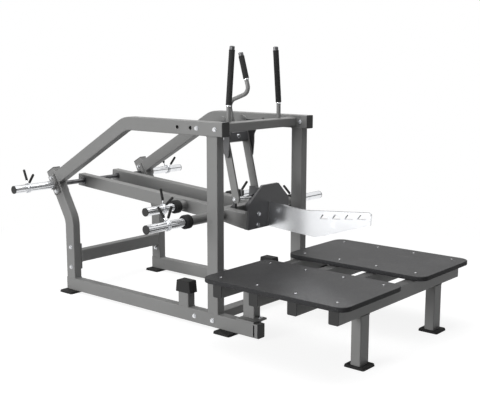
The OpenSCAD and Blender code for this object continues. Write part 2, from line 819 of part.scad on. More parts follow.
// Lever arms, with a shallow gusset under the front end
module lever_arm(side) {
    color(frame_grey) on_side(side) on_lever() difference() {
        union() {
            translate([arm_x, -arm_reach, 0]) tube_y(arm_reach + arm_tail - cap_t, tube_w, tube_h);
            across(arm_x, tube_w - 2 * tube_r) polygon([[-arm_reach, -tube_h / 2 + 1],
                [-arm_reach, -plate_low], [-arm_reach + 30, -plate_low],
                [-arm_reach + 190, -tube_h / 2 + 1]]);
        }
        rod_x(0, frame_w, bush_r);
        translate([0, -lower_horn_u, lower_horn_w]) rod_x(0, frame_w, stub_r - 6);
        translate([0, -upper_horn_u, 0]) rod_x(0, frame_w, stub_r - 6);
    }
}
bush_r = shaft_r + 7;
module pivot_bushes() {
    color(chrome) both_sides() translate([0, pivot_y, pivot_z]) {
        pipe_x(arm_gap / 2 - 6, arm_face + 6, bush_r, shaft_r + running);
        pipe_x(arm_face + 0.3, arm_face + 6, bush_r + 5, shaft_r + running);
    }
}
module lever_crossbar() {
    color(frame_grey) at_lever(lever_bar_u, -8) tube_x(arm_gap, tube_w, 60);
}
// Plates whose noses rest on the lock bar and whose stems run down behind it
module catch_plates() {
    bar_u = lev_u(bar_y, bar_z);
    bar_w = lev_w(bar_y, bar_z);
    back = -lever_bar_u - tube_w / 2;
    color(plate_grey) both_sides() on_lever() across(catch_x, catch_t) {
        intersection() {
            polygon([[back, -38], [back, 25], [back - 25, 50], [back - 25, bar_w + 60],
                [-bar_u, bar_w + 60], [-bar_u, -38]]);
            circle(bar_to_pivot - lock_bar_r - catch_gap - 0.2, $fn = 360);
        }
        intersection() {
            polygon(rounded([[back - 25, bar_w + 5, 0], [back - 25, bar_w + 60, 6],
                [-bar_u - 40, bar_w + 60, 8], [-bar_u - 40, bar_w - 5, 0]]));
            translate([-lev_u(lock_y, lock_z), lev_w(lock_y, lock_z)])
                circle(bar_to_axle - lock_bar_r - catch_gap, $fn = 180);
        }
    }
}
// Flange across both arms' ends, and the front plate bolted to it
module arm_flange() {
    color(frame_grey) on_lever() difference() {
        translate([-plate_w / 2, -arm_reach - plate_t, -plate_low])
            cube([plate_w, plate_t, 2 * plate_low]);
        plate_bolt_places() bolt_hole(2 * plate_t + 1);
    }
}
module plate_bolt_places() {
    for (x = [-plate_bolts.x, plate_bolts.x], z = [-plate_bolts.y, plate_bolts.y])
        translate([x, -plate_face, z]) rotate([90, 0, 0]) children();
}
module front_plate() {
    half = plate_w / 2;
    top = plate_top_w / 2;
    color(plate_grey) on_lever() difference() {
        translate([0, -arm_reach - plate_t, 0]) rotate([90, 0, 0]) linear_extrude(plate_t)
            polygon(rounded([[-half, -plate_low, 4], [half, -plate_low, 4],
                [half, plate_cut, 12], [top, plate_high, 12],
                [-top, plate_high, 12], [-half, plate_cut, 12]]));
        plate_bolt_places() bolt_hole(2 * plate_t + 1);
    }
}
module lever_bolts() {
    color(chrome) on_lever() plate_bolt_places() bolt(2 * plate_t);
}
// Belt tongue with a row of three-cornered holes, drawn forward from the front plate
function belt_hole(i) = let (
    o = [362 + i * hole_pitch * cos(hole_slope), 60 + i * hole_pitch * sin(hole_slope)])
    rounded([[o.x, o.y, 3], [o.x + 65, o.y + 11, 3], [o.x + 22, o.y + 31, 3]]);
module belt_tongue() {
    tip_h = 60;
    color(polished) on_lever() difference() {
        across(0, tongue_t) translate([-plate_face, 0]) mirror([1, 0]) difference() {
            polygon(rounded([[0, -tongue_low, 0], [tongue_flat, -tongue_low, 60],
                [tongue_flat + 75, -tongue_low + 24, 60],
                [tongue_len, tongue_rise - tip_h, 3], [tongue_len, tongue_rise + 8, 16],
                [264, tongue_high - 2, 40], [0, tongue_high, 0]]));
            for (i = [0:hole_count - 1]) polygon(belt_hole(i));
        }
    }
}

// Plate horns on the lever
module lower_places() {
    both_sides() at_lever(lower_horn_u, lower_horn_w) children();
}
module upper_places() {
    both_sides() at_lever(upper_horn_u, 0) children();
}
module horn_stubs() {
    color(frame_grey) {
        lower_places() pipe_x(arm_face, lower_ring_x - ring_w / 2, stub_r, stub_r - 4);
        upper_places() pipe_x(arm_face, upper_ring_x - ring_w / 2, stub_r, stub_r - 4);
    }
}
module horn_rings() {
    color(rubber_black) {
        lower_places() rubber_ring(lower_ring_x);
        upper_places() rubber_ring(upper_ring_x);
    }
}
module rubber_ring(x) {
    lip = 6;
    translate([x - ring_w / 2, 0, 0]) rotate([0, 90, 0]) rotate_extrude() difference() {
        translate([sleeve_r + 0.3, 0]) square([ring_r - sleeve_r - 0.3, ring_w]);
        for (z = [0, ring_w]) translate([ring_r, z]) rotate(45) square(lip, center = true);
    }
}
module horn_sleeve(x0, x1) {
    pipe_x(x0, x1 - cap_t, sleeve_r, sleeve_r - sleeve_wall);
}
module lower_sleeve(side) {
    color(chrome) on_side(side) at_lever(lower_horn_u, lower_horn_w)
        horn_sleeve(lower_ring_x - ring_w / 2, lower_horn_end);
}
module upper_sleeve(side) {
    color(chrome) on_side(side) at_lever(upper_horn_u, 0)
        horn_sleeve(upper_ring_x - ring_w / 2, upper_horn_end);
}
module lever_end_caps() {
    color(rubber_black) {
        lower_places() sleeve_cap(lower_horn_end);
        upper_places() sleeve_cap(upper_horn_end);
        both_sides() on_lever() translate([arm_x, arm_tail - cap_t, 0])
            rotate([-90, 0, 0]) end_cap(tube_w, tube_h);
    }
}

// Lockout links, lock bar, lever and grip, drawn with the links upright
module lockout_links() {
    color(frame_grey) both_sides() at_axle() difference() {
        across(link_x, link_t) {
            translate([0, link_up - link_end_r]) circle(link_end_r);
            translate([-link_w / 2, -link_down]) square([link_w, link_down + link_up - link_end_r]);
            translate([0, -link_down]) circle(link_end_r);
        }
        rod_x(0, frame_w, axle_r + running);
        translate([0, -lock_bar_ahead, -link_down]) rod_x(0, frame_w, lock_bar_r / 2 + 0.1);
    }
}
module lock_bar() {
    half = hub_w / 2;
    color(chrome) at_axle() translate([0, -lock_bar_ahead, -link_down]) {
        rod_x(-half, half, lock_bar_r);
        rod_x(-half - link_t, half + link_t, lock_bar_r / 2);
        both_sides() translate([half + link_t, 0, 0]) facing_x()
            cylinder(h = head_h, r = head_r, $fn = 6);
    }
}
// Hub block on the axle, with a clamp bolt in front and a tube that rises, turns over
// to the front and rises again
module after_turn() {
    translate([0, 0, lever_up]) mirror([0, 1, 0]) after_bend(lever_turn_r, lever_turn)
        children();
}
module after_turn_back() {
    after_turn() translate([0, 0, lever_across]) mirror([0, 1, 0])
        after_bend(lever_back_r, lever_turn_back) children();
}
module lockout_lever() {
    color(frame_grey) at_axle() difference() {
        union() {
            across(0, hub_w) rounded_rect(hub_block.x, hub_block.y, 8);
            translate([0, -hub_block.x / 2, 0]) rotate([90, 0, 0]) bolt(2);
            cylinder(h = lever_up, r = lever_tube_r);
            translate([0, 0, lever_up]) mirror([0, 1, 0])
                bend(lever_turn_r, lever_turn) circle(lever_tube_r + step);
            after_turn() cylinder(h = lever_across, r = lever_tube_r);
            after_turn() translate([0, 0, lever_across]) mirror([0, 1, 0])
                bend(lever_back_r, lever_turn_back) circle(lever_tube_r + step);
            after_turn_back() cylinder(h = lever_last, r = lever_tube_r);
        }
        rod_x(-hub_w, hub_w, axle_r + running);
    }
}
module lockout_grip() {
    color(rubber_black) at_axle() after_turn_back()
        translate([0, 0, lever_last - grip_tip - lock_grip_l]) grip(lock_grip_l, lever_tube_r);
}

// Spring collar: one wire that comes in along an arm, winds round the horn and goes out
function spoke(angle, r, x) = [x, r * sin(angle), r * cos(angle)];
coil_angle = 360 * coil_turns - collar_open - 2 * bend_sweep;
coil_count = ceil(coil_angle / (360 / ring_steps));
coil_half = coil_pitch * coil_angle / 720;
start_angle = collar_open / 2 + bend_sweep;
function arm_in(side) = [for (i = [0:bend_steps])
    let (t = i / bend_steps, a = start_angle - bend_sweep * sin(90 * t),
         r = coil_r + bend_rise * (1 - cos(90 * t)))
    spoke(side * a, r, -side * coil_half)];
wire_path = concat(
    [spoke(-collar_open / 2, collar_grip_from, coil_half)],
    [for (i = [bend_steps:-1:1]) arm_in(-1)[i]],
    [for (i = [0:coil_count]) let (t = i / coil_count)
        spoke(-start_angle - coil_angle * t, coil_r, coil_half * (1 - 2 * t))],
    [for (i = [1:bend_steps]) arm_in(1)[i]],
    [spoke(collar_open / 2, collar_grip_from, -coil_half)]);
function tangent(p, i) = unit(p[min(i + 1, len(p) - 1)] - p[max(i - 1, 0)]);
function wire_ring(p, i) = let (t = tangent(p, i), n = unit(cross(t, [1, 0, 0])),
    b = cross(t, n)) [for (k = [0:wire_sides - 1]) let (a = 360 * k / wire_sides)
    p[i] + wire_r * (cos(a) * n + sin(a) * b)];
wire_points = [for (i = [0:len(wire_path) - 1]) each wire_ring(wire_path, i)];
wire_faces = concat(
    [for (k = [1:wire_sides - 2]) [0, k, k + 1]],
    [for (i = [0:len(wire_path) - 2], k = [0:wire_sides - 1], h = [0, 1])
        let (a = i * wire_sides + k, b = i * wire_sides + (k + 1) % wire_sides)
        h == 0 ? [a, a + wire_sides, b + wire_sides] : [a, b + wire_sides, b]],
    [let (o = (len(wire_path) - 1) * wire_sides) for (k = [1:wire_sides - 2])
        [o, o + k + 1, o + k]]);
wire_gap = min([for (i = [0:len(wire_path) - 1], j = [i + 4:1:len(wire_path) - 1])
    norm(wire_path[i] - wire_path[j])]) - 2 * wire_r;
echo(str("collar wire least gap to itself, mm: ", wire_gap));
module collar(x, turn) {
    translate([x, 0, 0]) rotate([turn, 0, 0]) {
        color(chrome) polyhedron(wire_points, wire_faces, 4);
        for (s = [-1, 1])
            color(rubber_black) translate([-s * coil_half, 0, 0])
                rotate([-s * collar_open / 2, 0, 0]) translate([0, 0, collar_grip_from])
                    cylinder(h = collar_reach - collar_grip_from, r = collar_grip_r);
    }
}
function pick(pair, side) = pair[side == left ? 0 : 1];
module lower_collar(side) {
    on_side(side) at_lever(lower_horn_u, lower_horn_w)
        collar(pick(lower_collar_x, side), pick(lower_collar_turn, side));
}
module upper_collar(side) {
    on_side(side) at_lever(upper_horn_u, 0)
        collar(pick(upper_collar_x, side), pick(upper_collar_turn, side));
}
module storage_collar(side) {
    on_side(side) translate([0, pivot_y, pivot_z])
        collar(pick(storage_collar_x, side), pick(storage_collar_turn, side));
}

bottom_rail(left);  // bottom_rail_left
bottom_rail(right);  // bottom_rail_right
rear_upright(left);  // rear_upright_left
rear_upright(right);  // rear_upright_right
top_rail(left);  // top_rail_left
top_rail(right);  // top_rail_right
front_upright(left);  // front_upright_left
front_upright(right);  // front_upright_right
rear_crossbar();
top_crossbar();
bottom_crossbar();
stop_posts();
stop_rubbers();
frame_end_caps();
rubber_feet();
platform(left);  // platform_left
platform(right);  // platform_right
platform_beam(0);  // platform_beam_1
platform_beam(1);  // platform_beam_2
platform_beam(2);  // platform_beam_3
platform_beam(3);  // platform_beam_4
platform_posts();
platform_legs();
platform_bolts();
frame_bolts();
storage_flanges();
storage_sleeve(left);  // storage_sleeve_left
storage_sleeve(right);  // storage_sleeve_right
pivot_shaft();
balance_handle(left);  // balance_handle_left
balance_handle(right);  // balance_handle_right
balance_grips();
lockout_bracket();
lockout_axle();
lever_arm(left);  // lever_arm_left
lever_arm(right);  // lever_arm_right
pivot_bushes();
lever_crossbar();
catch_plates();
arm_flange();
front_plate();
belt_tongue();
horn_stubs();
horn_rings();
lower_sleeve(left);  // lower_sleeve_left
lower_sleeve(right);  // lower_sleeve_right
upper_sleeve(left);  // upper_sleeve_left
upper_sleeve(right);  // upper_sleeve_right
lever_end_caps();
lever_bolts();
lockout_links();
lock_bar();
lockout_lever();
lockout_grip();
lower_collar(left);  // lower_collar_left
lower_collar(right);  // lower_collar_right
upper_collar(left);  // upper_collar_left
upper_collar(right);  // upper_collar_right
storage_collar(left);  // storage_collar_left
storage_collar(right);  // storage_collar_right
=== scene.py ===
"""The looks of the lever deadlift machine: materials, small pieces, light and camera.

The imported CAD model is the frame. Everything is in metres in its axes: X across, -Y the
lifter's end, +Y the pivot end, Z up. Lengths are written in millimetres times MM, and
angles in degrees or, for turns that are summed here, in radians.
"""
import json
import math
import bpy
import numpy as np
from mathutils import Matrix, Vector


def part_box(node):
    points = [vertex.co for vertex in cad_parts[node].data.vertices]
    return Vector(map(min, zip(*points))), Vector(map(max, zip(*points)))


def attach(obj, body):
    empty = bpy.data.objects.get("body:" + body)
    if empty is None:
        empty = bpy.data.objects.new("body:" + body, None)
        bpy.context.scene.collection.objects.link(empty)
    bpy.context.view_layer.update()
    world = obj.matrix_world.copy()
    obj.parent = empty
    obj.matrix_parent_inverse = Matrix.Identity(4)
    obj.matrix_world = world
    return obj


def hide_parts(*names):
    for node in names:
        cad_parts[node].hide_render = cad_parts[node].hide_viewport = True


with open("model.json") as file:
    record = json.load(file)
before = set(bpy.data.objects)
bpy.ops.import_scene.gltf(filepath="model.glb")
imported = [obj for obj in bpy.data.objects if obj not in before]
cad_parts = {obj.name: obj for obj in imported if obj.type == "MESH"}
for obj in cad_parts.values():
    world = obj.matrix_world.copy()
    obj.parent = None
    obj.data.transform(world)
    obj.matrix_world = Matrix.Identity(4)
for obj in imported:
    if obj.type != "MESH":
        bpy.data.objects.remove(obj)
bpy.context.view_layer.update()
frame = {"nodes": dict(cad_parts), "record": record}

MM = 0.001
TAU = 2 * math.pi
SIDES = {"left": -1, "right": 1}


# Shader sums

class Value:
    """A shader socket that takes part in Python sums, one Math node for each operator."""

    def __init__(self, nodes, socket):
        self.nodes = nodes
        self.socket = socket

    def math(self, operation, *others):
        """One Math node on this value and others."""
        return self.nodes.node("Math", dict(operation=operation), self, *others)

    def __add__(self, other):
        return self.math("ADD", other)

    def __sub__(self, other):
        return self.math("SUBTRACT", other)

    def __mul__(self, other):
        return self.math("MULTIPLY", other)

    def __rsub__(self, other):
        return self.nodes.node("Math", dict(operation="SUBTRACT"), other, self)

    __radd__ = __add__
    __rmul__ = __mul__

    def between(self, low, high):
        """0 below low, 1 above high, and a smooth rise between them."""
        return self.nodes.node(
            "MapRange", dict(interpolation_type="SMOOTHSTEP"), self, low, high)


class Nodes:
    """A node tree, and the ways to add to it."""

    def __init__(self, tree):
        self.tree = tree

    def feed(self, socket, value):
        """Links a Value to a socket, or sets the socket to a colour or a number."""
        if isinstance(value, Value):
            self.tree.links.new(value.socket, socket)
        elif socket.type == "RGBA":
            socket.default_value = (*value, 1)
        else:
            socket.default_value = value

    def node(self, kind, settings=None, *inputs, output=0, **named):
        """Adds a node, sets it up, feeds its sockets in order or by name, and gives an output."""
        made = self.tree.nodes.new("ShaderNode" + kind)
        for key, value in (settings or {}).items():
            setattr(made, key, value)
        for socket, value in zip(made.inputs, inputs):
            self.feed(socket, value)
        for key, value in named.items():
            self.feed(made.inputs[key], value)
        return Value(self, made.outputs[output])

    def place(self, stretch=(1, 1, 1)):
        """Object coordinates, stretched along each axis."""
        spot = self.node("TexCoord", output="Object")
        if stretch == (1, 1, 1):
            return spot
        return self.node("Mapping", None, Vector=spot, Scale=stretch)

    def noise(self, scale, detail, stretch=(1, 1, 1)):
        """Noise from 0 to 1 with so many waves in a metre."""
        return self.node("TexNoise", None, Vector=self.place(stretch), Scale=scale,
                         Detail=detail, Roughness=0.55)

    def cells(self, scale, output="Distance"):
        """Round granules, so many in a metre: the distance to each one's middle, or its colour."""
        return self.node("TexVoronoi", None, output=output, Vector=self.place(), Scale=scale)

    def mix(self, share, low, high):
        """A colour between two, by a share."""
        made = self.tree.nodes.new("ShaderNodeMix")
        made.data_type = "RGBA"
        self.feed(made.inputs["Factor"], share)
        colors = [s for s in made.inputs if s.type == "RGBA"]
        self.feed(colors[0], low)
        self.feed(colors[1], high)
        return Value(self, [s for s in made.outputs if s.type == "RGBA"][0])

    def up(self):
        """How far a face looks up in the object's own axes, from -1 to 1."""
        normal = self.node("TexCoord", output="Normal")
        return self.node("SeparateXYZ", None, normal, output="Z")

    def ray(self, *kinds):
        """1 for the named kinds of ray and 0 for all others."""
        total = self.node("LightPath", output=f"Is {kinds[0]} Ray")
        for kind in kinds[1:]:
            total = total.math("MAXIMUM", self.node("LightPath", output=f"Is {kind} Ray"))
        return total


class Finish(Nodes):
    """One material on a Principled shader, and the nodes that feed it."""

    def __init__(self, name, color, **constants):
        self.material = bpy.data.materials.new(name)
        self.material.use_nodes = True
        super().__init__(self.material.node_tree)
        self.shader = self.tree.nodes["Principled BSDF"]
        self.feed(self.shader.inputs["Base Color"], color)
        self.set(**constants)
        self.material.diffuse_color = (*color, 1)

    def set(self, **inputs):
        """Feeds the shader's sockets by name, with _ where the name has a space."""
        for key, value in inputs.items():
            self.feed(self.shader.inputs[key.replace("_", " ")], value)

    def bump(self, height, depth):
        """Raises the surface by a height from 0 to 1 times a depth in metres."""
        self.set(Normal=self.node("Bump", None, Height=height, Distance=depth))


def shade(color, factor):
    """A colour made darker or paler."""
    return tuple(c * factor for c in color)


# Colours

GREY = (0.232, 0.232, 0.229)
DARK = (0.102, 0.103, 0.107)
BLACK = (0.016, 0.016, 0.016)
CAP_BLACK = (0.018, 0.018, 0.018)
BOARD_BLACK = (0.021, 0.021, 0.022)
CHROME = (0.80, 0.81, 0.83)
BOLT_CHROME = (0.74, 0.75, 0.77)
WIRE_CHROME = (0.70, 0.71, 0.73)
DULL_CHROME = (0.34, 0.34, 0.35)
BROWNED_STEEL = (0.13, 0.13, 0.135)
BRIGHT_STEEL = (0.78, 0.79, 0.81)
PALE_DUST = (0.55, 0.54, 0.52)
GREY_DUST = (0.30, 0.29, 0.28)
FLECK = (0.16, 0.16, 0.16)
SCUFF = (0.15, 0.145, 0.14)


# Finishes

def powder_coat(name, color, rough=0.40, painted_top_shade=0):
    """Textured paint: cloudy tone, orange-peel grain, dust on upward faces, rub marks.

    The last argument is the share of upward faces' colour turned black: painted shade.
    """
    f = Finish(name, color, Specular_IOR_Level=0.45)
    cloud = f.noise(2.2, 4)
    grain = f.noise(620, 2)
    rubbed = f.noise(14, 8).between(0.60, 0.74)
    dust = f.up().between(0.3, 1.0) * f.noise(7, 5).between(0.35, 0.8)
    tone = f.mix(cloud, shade(color, 0.90), shade(color, 1.10))
    tone = f.mix(rubbed * 0.35, tone, shade(color, 0.76))
    tone = f.mix(dust * 0.22, tone, PALE_DUST)
    # Painted shade: upward faces turned towards black by the given share
    if painted_top_shade:
        tone = f.mix(f.up().between(0.5, 1.0) * painted_top_shade, tone, BLACK)
    f.set(Base_Color=tone, Roughness=rough + cloud * 0.10 + dust * 0.12 - rubbed * 0.08)
    f.bump(grain + f.noise(90, 2) * 0.4, 0.09 * MM)
    return f.material


def chrome(name, color, rough=0.14, along=(1, 1, 1)):
    """Hard chrome with rub lines drawn out by the stretch that along gives each axis."""
    f = Finish(name, color, Metallic=1.0)
    lines = f.noise(9, 6, along)
    smear = f.noise(18, 4)
    f.set(Base_Color=f.mix(smear.between(0.4, 0.8), color, shade(color, 0.86)),
          Roughness=rough + lines.between(0.45, 0.8) * 0.14 + smear * 0.06)
    f.bump(lines, 0.04 * MM)
    return f.material


def black_rubber(name, color, rough=0.74, grain=260, depth=0.25 * MM):
    """Moulded rubber: fine pits, bloom in patches and dust on upward faces."""
    f = Finish(name, color, Specular_IOR_Level=0.35)
    bloom = f.noise(11, 5).between(0.35, 0.75)
    dust = f.up().between(0.4, 1.0) * f.noise(24, 6).between(0.45, 0.85)
    tone = f.mix(bloom * 0.5, color, shade(color, 1.7))
    tone = f.mix(dust * 0.18, tone, GREY_DUST)
    f.set(Base_Color=tone, Roughness=rough + bloom * 0.10)
    f.bump(f.noise(grain, 4), depth)
    return f.material


def platform_rubber(name, color):
    """Crumb rubber facing: pressed granules, paler flecks, shoe scuffs, a sheen on top, and sides
    made paler as painted light.
    """
    f = Finish(name, color, Specular_IOR_Level=0.10, Coat_Roughness=0.42)
    crumb = f.cells(330)
    fleck = f.cells(330, "Color")
    pale = f.node("SeparateColor", None, fleck).between(0.90, 0.97)
    top = f.up().between(0.5, 1.0)
    worn = f.noise(3.4, 5).between(0.42, 0.72) * top
    scuff = f.noise(6, 9, (5, 1, 1)).between(0.60, 0.72) * top
    # Painted light: the board's sides are twice as pale as its top, for light on the edges
    tone = f.mix(top, shade(color, 2.0), color)
    tone = f.mix(pale * 0.4, tone, FLECK)
    tone = f.mix(worn * 0.25, tone, shade(color, 1.5))
    tone = f.mix(scuff * 0.20, tone, SCUFF)
    f.set(Base_Color=tone, Roughness=0.60 - worn * 0.12, Coat_Weight=top * 0.66)
    f.bump(1 - crumb * 2.2 + f.noise(900, 2) * 0.5, 0.35 * MM)
    return f.material


def ground_steel(name, color):
    """Ground plate: long grinding lines along the tongue under a smeared polish."""
    f = Finish(name, color, Metallic=1.0)
    lines = f.noise(5, 8, (40, 1, 60))
    smear = f.noise(9, 5)
    f.set(Base_Color=f.mix(smear, shade(color, 0.90), shade(color, 1.06)),
          Roughness=0.20 + lines * 0.08 + smear.between(0.5, 0.8) * 0.06)
    f.bump(lines, 0.015 * MM)
    return f.material


def turned_steel(name, color):
    """Turned shaft: rings round the axis, dulled by oil in patches."""
    f = Finish(name, color, Metallic=1.0)
    marks = f.noise(30, 4, (60, 1, 1))
    oil = f.noise(16, 5).between(0.4, 0.7)
    f.set(Base_Color=f.mix(oil, color, shade(color, 0.55)),
          Roughness=0.30 + marks * 0.16 - oil * 0.10)
    f.bump(marks, 0.05 * MM)
    return f.material


materials = {
    "frame_paint": powder_coat("frame_paint", GREY),
    "plate_paint": powder_coat("plate_paint", DARK, 0.36),
    "rubber": black_rubber("rubber", BLACK),
    "cap_plastic": black_rubber("cap_plastic", CAP_BLACK, 0.50, 420, 0.1 * MM),
    "board": platform_rubber("board", BOARD_BLACK),
    "chrome": chrome("chrome", CHROME, 0.09, (1, 60, 60)),
    "bolt_steel": chrome("bolt_steel", BOLT_CHROME),
    "shaft_steel": turned_steel("shaft_steel", BROWNED_STEEL),
    "spring_wire": chrome("spring_wire", WIRE_CHROME),
    "polished_steel": ground_steel("polished_steel", BRIGHT_STEEL),
}
slot_of = {s["node"]: s["material_slot"] for s in frame["record"]["subparts"]}
for name, obj in frame["nodes"].items():
    obj.data.materials.clear()
    obj.data.materials.append(materials[slot_of[name]])

# The platforms' bolts are duller than the frame's, and the beams' tops get painted shade: black on
# upward faces, for the boards' shadow
BEAMS = 4
board_bolts = chrome("board_bolts", DULL_CHROME, 0.20)
frame["nodes"]["platform_bolts"].data.materials[0] = board_bolts
beam_paint = powder_coat("beam_paint", GREY, painted_top_shade=0.8)
for number in range(1, BEAMS + 1):
    frame["nodes"][f"platform_beam_{number}"].data.materials[0] = beam_paint


# Surfaces

SHARP_ANGLE = math.radians(38)
OFF_AXIS = (0.31, 0.87, 0.38)


def unit(vectors):
    """Each vector over its own length."""
    vectors = np.asarray(vectors, float)
    return vectors / np.linalg.norm(vectors, axis=-1, keepdims=True)


def grid_faces(rows, columns, closed):
    """Quads between each ring of points and the next, round every ring; closed joins the ends."""
    i = np.arange(rows if closed else rows - 1)[:, None]
    j = np.arange(columns)[None, :]
    across = (j + 1) % columns
    below = (i + 1) % rows
    quad = (i * columns + j, i * columns + across, below * columns + across, below * columns + j)
    return np.stack(np.broadcast_arrays(*quad), -1).reshape(-1, 4).tolist()


def fan(ring, centre, outward):
    """Triangles from a centre point to a ring of point numbers, turned to face outward."""
    after = np.roll(ring, -1)
    order = (ring, after) if outward else (after, ring)
    return np.stack([np.full(len(ring), centre), *order], -1).tolist()


def rings(centres, across, upward, radii, sides, closed=False):
    """Ring i at angle a is centre_i + radius_i (cos a * across_i + sin a * upward_i).

    A radius may vary round the ring too. Open ends are closed by a fan to their centre.
    """
    centres = np.asarray(centres, float)
    count = len(centres)
    angles = np.arange(sides) * TAU / sides
    across = np.broadcast_to(across, (count, 3))[:, None, :]
    upward = np.broadcast_to(upward, (count, 3))[:, None, :]
    radii = np.broadcast_to(np.asarray(radii, float).reshape(-1, 1), (count, sides))
    spoke = across * np.cos(angles)[None, :, None] + upward * np.sin(angles)[None, :, None]
    points = (centres[:, None, :] + radii[:, :, None] * spoke).reshape(-1, 3)
    faces = grid_faces(count, sides, closed)
    if closed:
        return points, faces
    start = np.arange(sides)
    last = start + (count - 1) * sides
    faces += fan(start, len(points), False) + fan(last, len(points) + 1, True)
    return np.vstack([points, centres[:1], centres[-1:]]), faces


def swept(path, radii, beside, sides, closed=False):
    """A round section carried along a path that is never parallel to the vector beside."""
    path = np.asarray(path, float)
    if closed:
        tangent = unit(np.roll(path, -1, 0) - np.roll(path, 1, 0))
    else:
        tangent = unit(np.gradient(path, axis=0))
    across = unit(np.cross(tangent, beside))
    return rings(path, across, np.cross(tangent, across), radii, sides, closed)


def turned(start, direction, profile, sides=24):
    """A profile of (distance, radius) turned about the line from start in a direction."""
    direction = unit(direction)
    across = unit(np.cross(direction, OFF_AXIS))
    profile = np.asarray(profile, float)
    centres = np.asarray(start, float) + profile[:, :1] * direction
    return rings(centres, across, np.cross(direction, across), profile[:, 1], sides)


def merged(shapes):
    """Several (points, faces) shapes as one."""
    points, faces, count = [], [], 0
    for shape_points, shape_faces in shapes:
        points.append(shape_points)
        faces += [[count + k for k in face] for face in shape_faces]
        count += len(shape_points)
    return np.vstack(points), faces


def piece(name, shape, body, slot, *replaced):
    """Puts a shape into a mesh that rides on a body and stands for the replaced nodes."""
    points, faces = shape
    mesh = bpy.data.meshes.new(name)
    mesh.from_pydata(points.tolist(), [], faces)
    mesh.polygons.foreach_set("use_smooth", np.ones(len(faces), bool))
    mesh.set_sharp_from_angle(angle=SHARP_ANGLE)
    mesh.materials.append(materials[slot])
    made = bpy.data.objects.new(name, mesh)
    bpy.context.scene.collection.objects.link(made)
    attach(made, body)
    if replaced:
        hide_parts(*replaced)


def corners(node):
    """The low and high corners of a node's box, as arrays."""
    return [np.array(corner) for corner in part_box(node)]


def middle(node):
    """The centre of a node's box."""
    return sum(corners(node)) / 2


def turn_x(y, z, degrees):
    """The direction (0, y, z) turned about X, as the CAD turns it."""
    c = math.cos(math.radians(degrees))
    s = math.sin(math.radians(degrees))
    return np.array([0, y * c - z * s, y * s + z * c])


# The lever's pivot and its slope at rest, from the frame

pivot = np.array(next(j for j in frame["record"]["behaviour"]["joints"]
                      if j["name"] == "lever_hinge")["pos_m"])
upper_horn = middle("upper_sleeve_right")
REST_TILT = math.degrees(math.atan2(pivot[2] - upper_horn[2], pivot[1] - upper_horn[1]))


# Grips

GRIP_R = 17.5 * MM
GRIP_DIP = 0.6 * MM
GRIP_RIPPLE = 0.3 * MM
TUBE_R = 12.5 * MM
TRIM_R = TUBE_R + 2 * MM
RING_L = 9 * MM
TIP_L = 22 * MM
LOCK_GRIP_L = 134 * MM
HANDLE_LEAN = 5.5
EDGE = 1.2 * MM


def grip_profile(length):
    """Flat collars at both ends, and between them a radius that ripples with the distance."""
    collar = 7 * MM
    pitch = 6 * MM
    steps = int((length - 2 * collar) / pitch) * 6
    along = np.linspace(collar, length - collar, steps)
    wave = np.abs(np.sin(np.pi * (along - collar) / pitch))
    ripple = GRIP_R - GRIP_DIP + GRIP_RIPPLE * wave
    start = [(0, TUBE_R), (0, GRIP_R - EDGE), (EDGE, GRIP_R), (collar - EDGE, GRIP_R)]
    end = [(length - d, r) for d, r in reversed(start)]
    return start + list(zip(along, ripple)) + end


def ring_profile(length):
    """A band with rounded rims."""
    return [(0, TUBE_R), (0, TRIM_R - EDGE), (EDGE / 3, TRIM_R - EDGE / 3), (EDGE, TRIM_R),
            (length - EDGE, TRIM_R), (length - EDGE / 3, TRIM_R - EDGE / 3),
            (length, TRIM_R - EDGE), (length, TUBE_R)]


def cap_profile():
    """A thimble: over the crown, the height grows with sin a and the radius with cos a ^ 0.7."""
    turn = np.linspace(0, math.pi / 2, 7)
    crown = 5 * MM
    top = [(TIP_L - crown + crown * math.sin(a), TRIM_R * math.cos(a) ** 0.7) for a in turn[:-1]]
    return [(0, TUBE_R), (0, TRIM_R)] + top + [(TIP_L, 1 * MM)]


def grip(name, foot, direction, length, body, node):
    """A ribbed grip from its foot upward, with the bright ring under it and its cap."""
    foot = np.asarray(foot, float)
    direction = unit(direction)
    piece(name, turned(foot, direction, grip_profile(length)), body, "rubber", node)
    ring = turned(foot - direction * RING_L, direction, ring_profile(RING_L))
    piece(name + "_ring", ring, body, "chrome", node)
    cap = turned(foot + direction * length, direction, cap_profile())
    piece(name + "_cap", cap, body, "shaft_steel", node)


def balance_grips():
    """The grips follow the leaning tubes: from the cap's top down along the same line."""
    low, high = corners("balance_grips")
    lean = math.radians(HANDLE_LEAN)
    for side, sign in SIDES.items():
        along = np.array([-sign * math.sin(lean), 0, math.cos(lean)])
        whole = (high[2] - low[2] - 2 * TRIM_R * math.sin(lean)) / math.cos(lean)
        foot_z = low[2] + TRIM_R * math.sin(lean) + RING_L * math.cos(lean)
        foot_x = sign * (high[0] - GRIP_R * math.cos(lean))
        y = (low[1] + high[1]) / 2
        grip(f"balance_grip_{side}", (foot_x, y, foot_z), along, whole - RING_L - TIP_L,
             "frame", "balance_grips")


balance_grips()


# The lockout lever's path, as in the CAD: up, over to the front, and up again

LINK_LEAN = 13.7
LEVER_UP = 170 * MM
FIRST_TURN = math.radians(83.7)
FIRST_R = 50 * MM
LEVER_ACROSS = 80 * MM
SECOND_TURN = math.radians(86)
SECOND_R = 45 * MM
LEVER_LAST = 195 * MM
TIP_BARE = 20 * MM
HUB_HALF = 86 * MM
HUB_BLOCK = (50 * MM, 60 * MM)
HUB_CORNER_R = 8 * MM
HUB_RIM = 2 * MM
CLAMP_WASHER = np.array([(0, 13), (2.1, 13), (2.5, 12.6)]) * MM
CLAMP_HEAD = np.array([(2.5, 11), (9.2, 11), (10, 10.2)]) * MM


